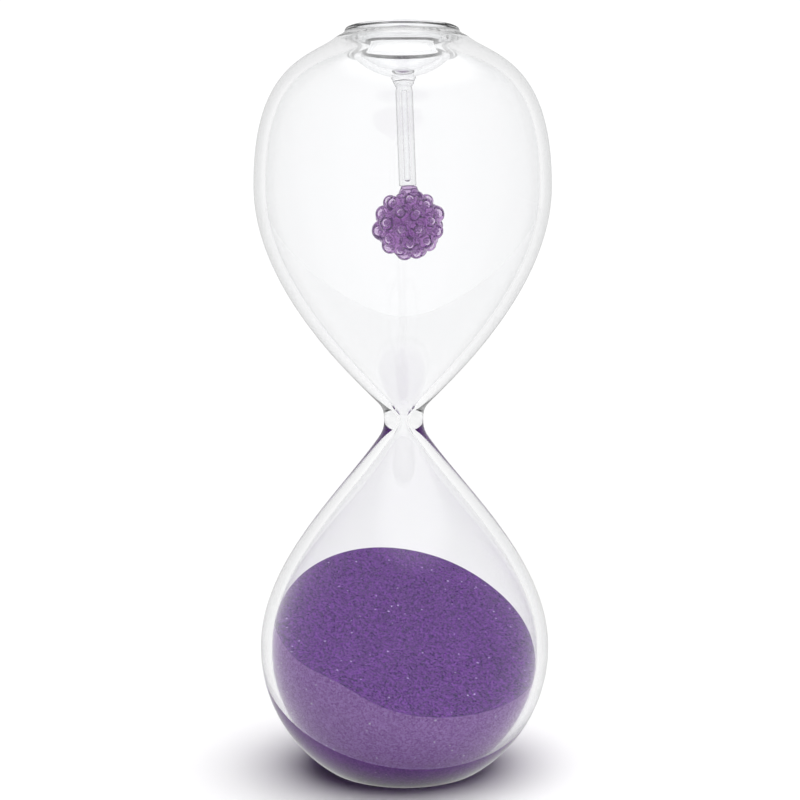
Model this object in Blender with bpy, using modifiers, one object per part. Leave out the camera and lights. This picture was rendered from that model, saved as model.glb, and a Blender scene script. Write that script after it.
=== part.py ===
"""A free-standing blown-glass hourglass with a glass berry hanging in its upper bulb.

Metres, +Z up. The origin is on the axis, at the floor that the foot stands on.
All the glass is turned about the Z axis, except the leaning stem with its berry
and the sand, whose top face slopes.
"""

import math
import random

import bmesh
import bpy
from mathutils import Matrix, Vector

# Overall sizes
HEIGHT = 0.2284  # floor to the top of the mouth ring
LOWER_RADIUS = 0.0450  # outside of the lower bulb, where it is widest
UPPER_RADIUS = 0.0455  # outside of the upper bulb, where it is widest
UPPER_WIDEST_BELOW_TOP = 0.0481  # from the top down to the upper bulb's widest level
THROAT_HEIGHT = 0.1093  # floor to the orifice

# Walls and clearances
BULB_WALL = 0.0034
GAP = 0.0003  # between pieces that touch on the real object

# Foot, the flattened bottom of the lower bulb
FOOT_RADIUS = 0.0240  # where the round side would meet the floor
FOOT_CHAMFER = 0.0011  # how far the corner is softened, each way
FOOT_RING_WIDTH = 0.0058  # of the flat ring that stands on the floor
PUNT_HEIGHT = 0.0012  # how far the middle of the bottom is pushed in
PUNT_SLOPE_WIDTH = 0.0040

# Waist and orifice
WAIST_RADIUS = 0.0061
ORIFICE_RADIUS = 0.0011
ORIFICE_LAND = 0.0004  # half the height of the narrowest stretch
LOWER_NECK_RADIUS = 0.0085  # where the lower bulb joins the waist
LOWER_NECK_DROP = 0.0066  # from the orifice down to that joint
LOWER_NECK_ANGLE = math.radians(36)  # of the lower bulb's side there, from the axis
UPPER_NECK_RADIUS = 0.0089
UPPER_NECK_RISE = 0.0061
UPPER_NECK_ANGLE = math.radians(45.5)

# How far each end of a bulb's side curve keeps its direction
LOWER_BELLY_PULL = 0.0254
LOWER_NECK_PULL = 0.0208
UPPER_NECK_PULL = 0.0152
UPPER_BELLY_PULL = 0.0285
SHOULDER_BELLY_PULL = 0.0375
SHOULDER_MOUTH_PULL = 0.0095

# Mouth: the low ring on the shoulder
LIP_RADIUS = 0.0175  # outside of the ring
LIP_ROUND = 0.0009
MOUTH_BORE_RADIUS = 0.0144
MOUTH_ROOT_RADIUS = 0.0207  # where the shoulder ends and the ring starts
MOUTH_ROOT_DROP = 0.0033  # from the ring's top down to there
MOUTH_ROOT_ANGLE = math.radians(39)  # of the shoulder there, from level
MOUTH_RING_HEIGHT = 0.0076  # of the ring's bore

# Closing dish
DISH_WALL = 0.0024
DISH_DEPTH = 0.0141  # from the ring's top to the dish's lowest point
DISH_EDGE_DEPTH = 0.00735  # from the ring's top to the edge of its underside

# Stem
STEM_OFFSET = 0.0004  # of the stem's top from the axis, towards +X
STEM_LEAN = math.radians(2.0)  # towards +X, going down
WELD_RADIUS = 0.0029
WELD_HEIGHT = 0.0034
STEM_RADIUS = 0.00265
STEM_BORE_RADIUS = 0.0009
STEM_LENGTH = 0.0292

# Berry
BERRY_CORE_RADIUS = 0.0064
BERRY_NECK_LENGTH = 0.0050  # of the purple glass between the core and the stem
BEAD_COUNT = 40
BEAD_RADIUS_MEAN = 0.00235
BEAD_RADIUS_SPREAD = 0.00022
BEAD_SEED = 7
SPREADING_ROUNDS = 300  # enough for the beads to stop pushing each other

# Sand
SAND_HEIGHT_ON_AXIS = 0.0462
SAND_SLOPE = math.radians(26)
SAND_DOWNHILL = math.radians(-65)  # direction that the slope runs down to, from +X

# Facets, round each turned piece and along the stretches of its outline
TURN_STEPS = 36
SMALL_TURN_STEPS = 24
SHOULDER_FACETS = 8
UPPER_SIDE_FACETS = 10
LOWER_SIDE_FACETS = 9
LOWER_BELLY_FACETS = 7
WAIST_FACETS = 4
LIP_FACETS = 3
DISH_FACETS = 6
WELD_FACETS = 8
CORE_FACETS = 10

CLEAR_GLASS = (0.93, 0.95, 0.95)
VIOLET_GLASS = (0.36, 0.20, 0.47)
VIOLET_SAND = (0.13, 0.07, 0.27)


# Outlines, as lists of (radius, height)

UP = (0.0, 1.0)
DOWN = (0.0, -1.0)


def curve(start, start_pull, end_pull, end, count):
    """Points along a cubic curve, without its end point."""
    points = []
    for step in range(count):
        t = step / count
        weights = ((1 - t) ** 3, 3 * (1 - t) ** 2 * t, 3 * (1 - t) * t**2, t**3)
        ends = (start, start_pull, end_pull, end)
        points.append(tuple(sum(w * p[axis] for w, p in zip(weights, ends)) for axis in (0, 1)))
    return points


def arc(centre, radius, start, end, count):
    """Points along a circle about centre, angles from straight down, both ends kept."""
    points = []
    for step in range(count + 1):
        angle = start + (end - start) * step / count
        points.append((centre[0] + radius * math.sin(angle), centre[1] - radius * math.cos(angle)))
    return points


def unit_between(start, end):
    """The direction from start to end, of length 1."""
    length = math.dist(start, end)
    return ((end[0] - start[0]) / length, (end[1] - start[1]) / length)


def moved(point, direction, distance):
    """The point, moved along a direction."""
    return (point[0] + direction[0] * distance, point[1] + direction[1] * distance)


def inward(direction):
    """At right angles to a direction that runs down an outer side, into the wall."""
    return (direction[1], -direction[0])


def offset_outline(outline, distance):
    """The outline moved into the wall by a distance, its corners mitred, its last point on the axis."""
    points = []
    for index, point in enumerate(outline[:-1]):
        ahead = inward(unit_between(point, outline[index + 1]))
        behind = inward(unit_between(outline[index - 1], point)) if index else ahead
        middle = (ahead[0] + behind[0], ahead[1] + behind[1])
        length = math.hypot(*middle)
        middle = (middle[0] / length, middle[1] / length)
        mitre = distance / (middle[0] * ahead[0] + middle[1] * ahead[1])
        points.append(moved(point, middle, mitre))
    points.append((0.0, outline[-1][1] + distance))
    return points


def lower_neck():
    """Where the lower bulb's side meets the waist."""
    return (LOWER_NECK_RADIUS, THROAT_HEIGHT - LOWER_NECK_DROP)


def upper_neck():
    """Where the upper bulb's side meets the waist."""
    return (UPPER_NECK_RADIUS, THROAT_HEIGHT + UPPER_NECK_RISE)


def mouth_root():
    """Where the shoulder meets the mouth ring."""
    return (MOUTH_ROOT_RADIUS, HEIGHT - MOUTH_ROOT_DROP)


def lower_bulb_outline():
    """The lower bulb's outer side, from the waist down to the middle of its bottom."""
    neck = lower_neck()
    centre_height = math.sqrt(LOWER_RADIUS**2 - FOOT_RADIUS**2)
    widest = (LOWER_RADIUS, centre_height)
    outward = (math.sin(LOWER_NECK_ANGLE), -math.cos(LOWER_NECK_ANGLE))
    belly_pull = (LOWER_RADIUS, centre_height + LOWER_BELLY_PULL)
    neck_pull = moved(neck, outward, LOWER_NECK_PULL)
    points = curve(neck, neck_pull, belly_pull, widest, LOWER_SIDE_FACETS)
    foot_angle = math.asin((FOOT_RADIUS + FOOT_CHAMFER) / LOWER_RADIUS)
    points += arc((0.0, centre_height), LOWER_RADIUS, math.pi / 2, foot_angle, LOWER_BELLY_FACETS)
    ring_inner = FOOT_RADIUS - FOOT_CHAMFER - FOOT_RING_WIDTH
    points.append((FOOT_RADIUS - FOOT_CHAMFER, 0.0))
    points.append((ring_inner, 0.0))
    points.append((ring_inner - PUNT_SLOPE_WIDTH, PUNT_HEIGHT))
    points.append((0.0, PUNT_HEIGHT))
    return points


def upper_bulb_outline():
    """The upper bulb's outer side, from the mouth ring down to the waist."""
    root, neck = mouth_root(), upper_neck()
    widest_height = HEIGHT - UPPER_WIDEST_BELOW_TOP
    widest = (UPPER_RADIUS, widest_height)
    root_outward = (math.cos(MOUTH_ROOT_ANGLE), -math.sin(MOUTH_ROOT_ANGLE))
    shoulder_pull = (UPPER_RADIUS, widest_height + SHOULDER_BELLY_PULL)
    belly_pull = (UPPER_RADIUS, widest_height - UPPER_BELLY_PULL)
    neck_outward = (math.sin(UPPER_NECK_ANGLE), math.cos(UPPER_NECK_ANGLE))
    root_pull = moved(root, root_outward, SHOULDER_MOUTH_PULL)
    neck_pull = moved(neck, neck_outward, UPPER_NECK_PULL)
    points = curve(root, root_pull, shoulder_pull, widest, SHOULDER_FACETS)
    points += curve(widest, belly_pull, neck_pull, neck, UPPER_SIDE_FACETS)
    points.append(neck)
    return points


def waist_outline():
    """The waist's closed section: down its outer side, then up through the orifice."""
    top, bottom = upper_neck(), lower_neck()
    top_run = unit_between(upper_bulb_outline()[-2], top)
    bottom_run = unit_between(bottom, lower_bulb_outline()[1])
    top_outer = moved(top, top_run, GAP)
    bottom_outer = moved(bottom, bottom_run, -GAP)
    top_inner = moved(top_outer, inward(top_run), BULB_WALL)
    bottom_inner = moved(bottom_outer, inward(bottom_run), BULB_WALL)
    middle = (WAIST_RADIUS, THROAT_HEIGHT)
    reach = (top_outer[1] - THROAT_HEIGHT) / 2
    upper_side_pull = moved(top_outer, top_run, reach)
    lower_side_pull = moved(bottom_outer, bottom_run, -reach)
    points = curve(top_outer, upper_side_pull, moved(middle, UP, reach), middle, WAIST_FACETS)
    points += curve(middle, moved(middle, DOWN, reach), lower_side_pull, bottom_outer, WAIST_FACETS)
    points.append(bottom_outer)
    land_top = (ORIFICE_RADIUS, THROAT_HEIGHT + ORIFICE_LAND)
    land_bottom = (ORIFICE_RADIUS, THROAT_HEIGHT - ORIFICE_LAND)
    lower_reach = (land_bottom[1] - bottom_inner[1]) / 2
    upper_reach = (top_inner[1] - land_top[1]) / 2
    lower_pull = moved(bottom_inner, bottom_run, -lower_reach)
    upper_pull = moved(top_inner, top_run, upper_reach)
    below_land = moved(land_bottom, DOWN, lower_reach / 2)
    above_land = moved(land_top, UP, upper_reach / 2)
    points += curve(bottom_inner, lower_pull, below_land, land_bottom, WAIST_FACETS)
    points.append(land_bottom)
    points += curve(land_top, above_land, upper_pull, top_inner, WAIST_FACETS)
    points.append(top_inner)
    return points


def mouth_ring_outline():
    """The mouth ring's closed section: down its outer side, then up its bore."""
    root = mouth_root()
    run = unit_between(root, upper_bulb_outline()[1])
    root_outer = moved(root, run, -GAP)
    root_inner = moved(root_outer, inward(run), BULB_WALL)
    outer_centre = (LIP_RADIUS - LIP_ROUND, HEIGHT - LIP_ROUND)
    bore_centre = (MOUTH_BORE_RADIUS + LIP_ROUND, HEIGHT - LIP_ROUND)
    points = arc(outer_centre, LIP_ROUND, math.pi, math.pi / 2, LIP_FACETS)
    side_pull = moved(points[-1], DOWN, LIP_ROUND)
    root_pull = moved(root_outer, run, -LIP_ROUND)
    points += curve(points[-1], side_pull, root_pull, root_outer, LIP_FACETS)[1:]
    points += [root_outer, root_inner, (MOUTH_BORE_RADIUS, HEIGHT - MOUTH_RING_HEIGHT)]
    points += arc(bore_centre, LIP_ROUND, -math.pi / 2, -math.pi, LIP_FACETS)
    return points


def dish_outline():
    """The dish's round underside, from its edge inside the ring to its lowest point."""
    sag = DISH_DEPTH - DISH_EDGE_DEPTH
    edge_radius = MOUTH_BORE_RADIUS - GAP
    curvature = (edge_radius**2 + sag**2) / (2 * sag)
    centre = (0.0, HEIGHT - DISH_DEPTH + curvature)
    return arc(centre, curvature, math.asin(edge_radius / curvature), 0.0, DISH_FACETS)


# Objects


def principled(name, colour, roughness, transmission):
    """A Principled material, never metallic here."""
    material = bpy.data.materials.new(name)
    material.use_nodes = True
    shader = material.node_tree.nodes["Principled BSDF"]
    shader.inputs["Base Color"].default_value = (*colour, 1.0)
    shader.inputs["Roughness"].default_value = roughness
    shader.inputs["Metallic"].default_value = 0.0
    shader.inputs["Transmission Weight"].default_value = transmission
    material.diffuse_color = (*colour, 1.0)
    return material


def add_object(name, mesh, material, collection):
    """A new object that shows the mesh in the material."""
    mesh.materials.append(material)
    obj = bpy.data.objects.new(name, mesh)
    collection.objects.link(obj)
    return obj


def turned(name, outline, closed, steps, material, collection):
    """The outline, drawn at +X, swept once round Z by a Screw modifier."""
    mesh = bpy.data.meshes.new(name)
    edges = [(index, index + 1) for index in range(len(outline) - 1)]
    if closed:
        edges.append((len(outline) - 1, 0))
    mesh.from_pydata([(radius, 0.0, height) for radius, height in outline], edges, [])
    obj = add_object(name, mesh, material, collection)
    screw = obj.modifiers.new("turn", "SCREW")
    screw.steps = steps
    screw.render_steps = steps
    screw.use_merge_vertices = True
    screw.merge_threshold = 0.00001
    screw.use_smooth_shade = True
    return obj


def give_wall(obj, wall):
    """Thickens an open turned surface inwards."""
    solidify = obj.modifiers.new("wall", "SOLIDIFY")
    solidify.thickness = wall
    solidify.offset = -1.0
    solidify.use_even_offset = True


def make_envelope(materials, collection):
    """The fused glass envelope: two bulbs, the waist between them, and the mouth."""
    glass = materials["glass"]
    give_wall(turned("upper_bulb", upper_bulb_outline(), False, TURN_STEPS, glass, collection), BULB_WALL)
    give_wall(turned("lower_bulb", lower_bulb_outline(), False, TURN_STEPS, glass, collection), BULB_WALL)
    turned("waist", waist_outline(), True, TURN_STEPS, glass, collection)
    turned("mouth_ring", mouth_ring_outline(), True, TURN_STEPS, glass, collection)
    give_wall(turned("closing_dish", dish_outline(), False, TURN_STEPS, glass, collection), DISH_WALL)


def stem_bottom():
    """The level of the stem's lower end, from the hanger."""
    return -WELD_HEIGHT - GAP - STEM_LENGTH


def make_stem(materials, collection):
    """The weld and the hollow stem below it, hung from an empty that sets their lean."""
    hanger = bpy.data.objects.new("stem_hanger", None)
    collection.objects.link(hanger)
    hanger.location = (STEM_OFFSET, 0.0, HEIGHT - DISH_DEPTH - GAP)
    hanger.rotation_euler = (0.0, -STEM_LEAN, 0.0)
    outline = []
    for step in range(WELD_FACETS + 1):
        angle = math.pi * step / WELD_FACETS
        outline.append((WELD_RADIUS * math.sin(angle), WELD_HEIGHT / 2 * (math.cos(angle) - 1)))
    weld = turned("stem_weld", outline, False, SMALL_TURN_STEPS, materials["glass"], collection)
    top = -WELD_HEIGHT - GAP
    bottom = stem_bottom()
    section = [(STEM_RADIUS, top), (STEM_RADIUS, bottom)]
    section += [(STEM_BORE_RADIUS, bottom), (STEM_BORE_RADIUS, top)]
    tube = turned("stem_tube", section, True, SMALL_TURN_STEPS, materials["glass"], collection)
    weld.parent = hanger
    tube.parent = hanger
    return hanger


def bead_places():
    """The direction and the radius of each bead: spread out until no two touch, clear of the neck."""
    chance = random.Random(BEAD_SEED)
    radii = [BEAD_RADIUS_MEAN + chance.uniform(-1, 1) * BEAD_RADIUS_SPREAD for _ in range(BEAD_COUNT)]
    reach = BERRY_CORE_RADIUS + GAP + BEAD_RADIUS_MEAN
    widest_bead = BEAD_RADIUS_MEAN + BEAD_RADIUS_SPREAD
    highest = math.cos(math.asin((STEM_RADIUS + widest_bead + 2 * GAP) / reach))
    golden = math.pi * (3 - math.sqrt(5))
    places = []
    for index in range(BEAD_COUNT):
        height = highest - (1 + highest) * (index + 0.5) / BEAD_COUNT
        level = math.sqrt(1 - height**2)
        places.append(Vector((level * math.cos(index * golden), level * math.sin(index * golden), height)))
    for _ in range(SPREADING_ROUNDS):
        for first in range(BEAD_COUNT):
            for second in range(first):
                apart = places[first] - places[second]
                wanted = (radii[first] + radii[second] + 2 * GAP) / reach
                push = apart.normalized() * max(0.0, wanted - apart.length) / 2
                places[first] = (places[first] + push).normalized()
                places[second] = (places[second] - push).normalized()
            if places[first].z > highest:
                level = places[first].xy.normalized() * math.sqrt(1 - highest**2)
                places[first] = Vector((level.x, level.y, highest))
    centres = [place * (BERRY_CORE_RADIUS + GAP + radius) for place, radius in zip(places, radii)]
    for first in range(BEAD_COUNT):
        for second in range(first):
            room = (centres[first] - centres[second]).length - GAP
            share = min(1.0, room / (radii[first] + radii[second]))
            radii[first] *= share
            radii[second] *= share
    return list(zip(centres, radii))


def make_berry(materials, collection, hanger):
    """The berry's core with its neck, and the round beads fused all over it."""
    core_height = stem_bottom() - GAP - BERRY_NECK_LENGTH - BERRY_CORE_RADIUS
    neck_angle = math.pi - math.asin(STEM_RADIUS / BERRY_CORE_RADIUS)
    neck_top = BERRY_CORE_RADIUS + BERRY_NECK_LENGTH
    outline = [(0.0, neck_top), (STEM_RADIUS, neck_top)]
    outline += arc((0.0, 0.0), BERRY_CORE_RADIUS, neck_angle, 0.0, CORE_FACETS)
    core = turned("berry_core", outline, False, SMALL_TURN_STEPS, materials["berry"], collection)
    core.parent = hanger
    core.location = (0.0, 0.0, core_height)
    for number, (centre, radius) in enumerate(bead_places(), 1):
        mesh = bpy.data.meshes.new("bead")
        shape = bmesh.new()
        bmesh.ops.create_icosphere(shape, subdivisions=2, radius=radius)
        shape.to_mesh(mesh)
        shape.free()
        mesh.shade_smooth()
        bead = add_object(f"berry_bead_{number:02d}", mesh, materials["berry"], collection)
        bead.parent = hanger
        bead.location = centre + Vector((0.0, 0.0, core_height))


def make_sand(materials, collection, cutters):
    """The sand in the lower bulb: it fills the bulb up to a level that slopes."""
    outline = offset_outline(lower_bulb_outline(), BULB_WALL + GAP)
    outline.insert(0, (0.0, outline[0][1]))
    sand = turned("sand", outline, False, TURN_STEPS, materials["sand"], collection)
    size = 2 * THROAT_HEIGHT
    mesh = bpy.data.meshes.new("sand_level")
    shape = bmesh.new()
    bmesh.ops.create_cube(shape, size=size)
    shape.to_mesh(mesh)
    shape.free()
    level = bpy.data.objects.new("sand_level", mesh)
    cutters.objects.link(level)
    level.hide_render = True
    level.display_type = "WIRE"
    lift = Matrix.Translation((0.0, 0.0, size / 2))
    tilt = Matrix.Rotation(SAND_SLOPE, 4, "Y")
    turn = Matrix.Rotation(SAND_DOWNHILL, 4, "Z")
    raised = Matrix.Translation((0.0, 0.0, SAND_HEIGHT_ON_AXIS))
    level.matrix_world = raised @ turn @ tilt @ lift
    cut = sand.modifiers.new("level", "BOOLEAN")
    cut.operation = "DIFFERENCE"
    cut.object = level


def main():
    """Clears the scene and builds the hourglass."""
    for obj in list(bpy.data.objects):
        bpy.data.objects.remove(obj, do_unlink=True)
    hourglass = bpy.data.collections.new("hourglass")
    cutters = bpy.data.collections.new("cutters")
    bpy.context.scene.collection.children.link(hourglass)
    bpy.context.scene.collection.children.link(cutters)
    materials = {
        "glass": principled("clear_glass", CLEAR_GLASS, 0.02, 1.0),
        "berry": principled("violet_glass", VIOLET_GLASS, 0.04, 1.0),
        "sand": principled("violet_sand", VIOLET_SAND, 0.9, 0.0),
    }
    make_envelope(materials, hourglass)
    make_berry(materials, hourglass, make_stem(materials, hourglass))
    make_sand(materials, hourglass, cutters)


if __name__ == "__main__":
    main()
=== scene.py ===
"""The looks of a free-standing blown-glass hourglass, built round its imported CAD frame.

The clear envelope, the hanging stem, the berry and the sand are modelled here in metres, +Z up,
in the frame of the CAD model, and each stands for the CAD nodes that it replaces.
"""

from __future__ import annotations

import logging
import math
from dataclasses import dataclass, field
from enum import Enum

import bpy
from mathutils import Matrix, Vector

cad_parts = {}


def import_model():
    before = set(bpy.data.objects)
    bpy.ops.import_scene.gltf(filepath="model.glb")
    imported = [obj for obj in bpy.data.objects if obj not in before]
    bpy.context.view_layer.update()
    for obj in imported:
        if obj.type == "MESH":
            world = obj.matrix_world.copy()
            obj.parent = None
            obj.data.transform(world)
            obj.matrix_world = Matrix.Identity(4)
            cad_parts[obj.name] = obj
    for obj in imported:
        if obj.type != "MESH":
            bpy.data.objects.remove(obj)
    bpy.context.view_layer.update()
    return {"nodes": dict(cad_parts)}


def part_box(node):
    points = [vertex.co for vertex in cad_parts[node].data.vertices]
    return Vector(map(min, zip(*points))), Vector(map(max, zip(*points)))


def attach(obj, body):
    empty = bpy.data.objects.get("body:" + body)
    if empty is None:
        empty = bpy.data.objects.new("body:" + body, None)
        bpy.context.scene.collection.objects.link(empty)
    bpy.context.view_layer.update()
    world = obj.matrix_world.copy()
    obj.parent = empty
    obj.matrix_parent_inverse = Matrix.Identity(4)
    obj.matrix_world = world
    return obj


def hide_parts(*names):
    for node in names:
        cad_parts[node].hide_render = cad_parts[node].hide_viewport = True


Point = tuple[float, float]
Colour = tuple[float, float, float]
Value = bpy.types.NodeSocket | float | tuple[float, ...]

LOG = logging.getLogger("hourglass")
BODY = "root"
UP: Point = (0.0, 1.0)
DOWN: Point = (0.0, -1.0)
COLOUR_SOCKET = "NodeSocketColor"
FLOAT_SOCKET = "NodeSocketFloat"


class Facing(Enum):
    """Which way the skin of a turned shape looks."""

    OUTWARD = "outward"  # the outside of a solid
    INTO_HOLLOW = "into hollow"  # the wall of a hollow inside a solid


# Outlines, as lists of (radius, height)


def cubic(start: Point, start_pull: Point, end_pull: Point, end: Point, count: int) -> list[Point]:
    """Points along a cubic curve, without its end point.

    Args:
        start: Where the curve begins.
        start_pull: Where its first control point lies.
        end_pull: Where its second control point lies.
        end: Where the curve ends.
        count: How many points to give.

    Returns:
        The points in order, the start first.
    """
    points = []
    for step in range(count):
        t = step / count
        weights = ((1 - t) ** 3, 3 * (1 - t) ** 2 * t, 3 * (1 - t) * t**2, t**3)
        ends = (start, start_pull, end_pull, end)
        radius = sum(w * p[0] for w, p in zip(weights, ends))
        height = sum(w * p[1] for w, p in zip(weights, ends))
        points.append((radius, height))
    return points


def arc(centre: Point, radius: float, start: float, end: float, count: int) -> list[Point]:
    """Points along a circle, both ends kept.

    Args:
        centre: The circle's middle.
        radius: Its radius.
        start: The first angle, from straight down.
        end: The last angle.
        count: How many steps lie between the two.

    Returns:
        The points in order.
    """
    points = []
    for step in range(count + 1):
        angle = start + (end - start) * step / count
        points.append((centre[0] + radius * math.sin(angle), centre[1] - radius * math.cos(angle)))
    return points


def eased_line(start: Point, end: Point, count: int) -> list[Point]:
    """Points strictly between two ends, closer together near each end.

    Args:
        start: One end of the straight run.
        end: The other end.
        count: How many steps lie between the two.

    Returns:
        The points in order, without either end.
    """
    return cubic(start, start, end, end, count)[1:]


def unit_between(start: Point, end: Point) -> Point:
    """The direction from start to end, of length 1."""
    length = math.dist(start, end)
    return ((end[0] - start[0]) / length, (end[1] - start[1]) / length)


def moved(point: Point, direction: Point, distance: float) -> Point:
    """The point, moved along a direction."""
    return (point[0] + direction[0] * distance, point[1] + direction[1] * distance)


def inward(direction: Point) -> Point:
    """At right angles to a direction that runs up an outer side, into the wall."""
    return (-direction[1], direction[0])


def offset(outline: list[Point], distance: float) -> list[Point]:
    """An outline that runs up an outer side, moved into the wall.

    Args:
        outline: Two points or more.
        distance: How far to move it.

    Returns:
        As many points, on mitred corners.
    """
    points = []
    for index, point in enumerate(outline):
        runs = []
        if index:
            runs.append(inward(unit_between(outline[index - 1], point)))
        if index < len(outline) - 1:
            runs.append(inward(unit_between(point, outline[index + 1])))
        across = (sum(run[0] for run in runs), sum(run[1] for run in runs))
        length = math.hypot(*across)
        across = (across[0] / length, across[1] / length)
        mitre = across[0] * runs[0][0] + across[1] * runs[0][1]
        points.append(moved(point, across, distance / mitre))
    return points


# Modelling steps that several pieces share


def deselect() -> None:
    """Leaves edit mode and selects nothing."""
    if bpy.context.mode != "OBJECT":
        bpy.ops.object.mode_set(mode="OBJECT")
    bpy.ops.object.select_all(action="DESELECT")


def pick(piece: bpy.types.Object) -> None:
    """Selects one piece alone and makes it active.

    Args:
        piece: The piece to select.
    """
    deselect()
    piece.select_set(True)
    bpy.context.view_layer.objects.active = piece


def turned_skin(outline: list[Point], steps: int, facing: Facing) -> bpy.types.Object:
    """An outline traced by extruding one vertex, then spun once round Z.

    Args:
        outline: The outline, with both its ends on the axis.
        steps: How many facets go round.
        facing: Which way the skin looks.

    Returns:
        The closed skin as an object.
    """
    deselect()
    radius, height = outline[0]
    bpy.ops.mesh.primitive_plane_add(size=0.001, location=(radius, 0.0, height))
    skin = bpy.context.object
    bpy.ops.object.transform_apply(location=True, rotation=True, scale=True)
    bpy.ops.object.mode_set(mode="EDIT")
    bpy.ops.mesh.select_all(action="SELECT")
    bpy.ops.mesh.merge(type="CENTER")
    for start, end in zip(outline, outline[1:]):
        step = (end[0] - start[0], 0.0, end[1] - start[1])
        bpy.ops.mesh.extrude_region_move(TRANSFORM_OT_translate={"value": step})
    bpy.ops.mesh.select_all(action="SELECT")
    bpy.ops.mesh.spin(steps=steps, angle=2 * math.pi, center=(0, 0, 0), axis=(0, 0, 1))
    bpy.ops.mesh.select_all(action="SELECT")
    bpy.ops.mesh.remove_doubles(threshold=1e-6)
    bpy.ops.mesh.normals_make_consistent(inside=facing is Facing.INTO_HOLLOW)
    bpy.ops.object.mode_set(mode="OBJECT")
    return skin


def joined(name: str, parts: list[bpy.types.Object]) -> bpy.types.Object:
    """The parts made one object.

    Args:
        name: What to call it.
        parts: The objects to join, which stop being objects of their own.

    Returns:
        The joined object.
    """
    pick(parts[0])
    for part in parts[1:]:
        part.select_set(True)
    bpy.ops.object.join()
    whole = bpy.context.object
    whole.name = name
    whole.data.name = name
    return whole


def shade_smooth(piece: bpy.types.Object) -> None:
    """Shades every face of the piece smooth."""
    pick(piece)
    bpy.ops.object.shade_smooth()


def apply_modifiers(piece: bpy.types.Object) -> None:
    """Applies a piece's modifiers, the first one first.

    Args:
        piece: The piece that carries them.
    """
    pick(piece)
    for modifier in list(piece.modifiers):
        bpy.ops.object.modifier_apply(modifier=modifier.name)


def clad(piece: bpy.types.Object, *finishes: bpy.types.Material) -> None:
    """Gives a piece its finishes in place of any it has.

    Args:
        piece: The finished piece.
        finishes: Its materials, in the order of its faces' slots.
    """
    piece.data.materials.clear()
    for finish in finishes:
        piece.data.materials.append(finish)


def hand_over(piece: bpy.types.Object, slot: str, *nodes: str) -> None:
    """Ties a finished piece to the frame.

    Args:
        piece: The finished piece.
        slot: The record's material slot that its finish comes from; not used.
        nodes: The CAD nodes that it stands for.
    """
    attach(piece, BODY)
    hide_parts(*nodes)
    LOG.info("%s: %d faces, stands for %d nodes", piece.name, len(piece.data.polygons), len(nodes))


# Finishes


@dataclass(frozen=True)
class NodeBench:
    """A node tree, with short ways to add and join nodes."""

    tree: bpy.types.NodeTree

    def add(self, kind: str, **values: object) -> bpy.types.Node:
        """Adds a node.

        Args:
            kind: The node's type.
            values: Its settings by attribute, with sockets by name under "inputs".

        Returns:
            The new node.
        """
        node = self.tree.nodes.new(kind)
        inputs = values.pop("inputs", {})
        for key, value in values.items():
            setattr(node, key, value)
        for key, value in inputs.items():
            node.inputs[key].default_value = value
        return node

    def feed(self, target: bpy.types.NodeSocket, value: Value) -> None:
        """Joins a socket to an input, or sets the input to a number or colour.

        Args:
            target: The input.
            value: The socket, number or colour to give it.
        """
        if isinstance(value, bpy.types.NodeSocket):
            self.tree.links.new(value, target)
        else:
            target.default_value = value

    def math(self, operation: str, first: Value, second: Value = 0.0) -> bpy.types.NodeSocket:
        """Works out a sum on two values.

        Args:
            operation: The sum's name in the Math node.
            first: Its first value.
            second: Its second value.

        Returns:
            The result.
        """
        node = self.add("ShaderNodeMath", operation=operation)
        self.feed(node.inputs[0], first)
        self.feed(node.inputs[1], second)
        return node.outputs["Value"]

    def along(self, vector: bpy.types.NodeSocket, axis: Vector) -> bpy.types.NodeSocket:
        """Measures how far a vector reaches along an axis.

        Args:
            vector: The vector.
            axis: The axis, of length 1 or nearly so.

        Returns:
            The reach.
        """
        node = self.add("ShaderNodeVectorMath", operation="DOT_PRODUCT")
        self.feed(node.inputs[0], vector)
        self.feed(node.inputs[1], tuple(axis))
        return node.outputs["Value"]

    def ramp(self, value: bpy.types.NodeSocket, low: float, high: float) -> bpy.types.NodeSocket:
        """Makes a soft rise from 0 to 1.

        Args:
            value: What the rise follows.
            low: The value at which it starts from 0.
            high: The value at which it reaches 1.

        Returns:
            The height of the rise.
        """
        node = self.add(
            "ShaderNodeMapRange",
            interpolation_type="SMOOTHSTEP",
            inputs={"From Min": low, "From Max": high},
        )
        self.feed(node.inputs["Value"], value)
        return node.outputs["Result"]

    def mix(self, share: Value, first: Value, second: Value) -> bpy.types.NodeSocket:
        """Mixes two numbers.

        Args:
            share: How far to shift from the first to the second, from 0 to 1.
            first: The number at a share of 0.
            second: The number at a share of 1.

        Returns:
            The mixed number.
        """
        node = self.add("ShaderNodeMix", data_type="FLOAT")
        self.feed(node.inputs[0], share)
        self.feed(node.inputs[2], first)
        self.feed(node.inputs[3], second)
        return node.outputs[0]

    def blend(
        self, share: Value, first: Value, second: Value, how: str = "MIX"
    ) -> bpy.types.NodeSocket:
        """Mixes two colours.

        Args:
            share: How far to shift from the first colour, from 0 to 1.
            first: The colour at a share of 0.
            second: The colour that is mixed in.
            how: "MIX" to shift towards the second, "MULTIPLY" to shift towards their product.

        Returns:
            The mixed colour.
        """
        node = self.add("ShaderNodeMix", data_type="RGBA", blend_type=how)
        self.feed(node.inputs[0], share)
        self.feed(node.inputs[6], first)
        self.feed(node.inputs[7], second)
        return node.outputs[2]


def rgba(colour: Colour) -> tuple[float, float, float, float]:
    """The colour with full alpha."""
    return (*colour, 1.0)


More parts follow.
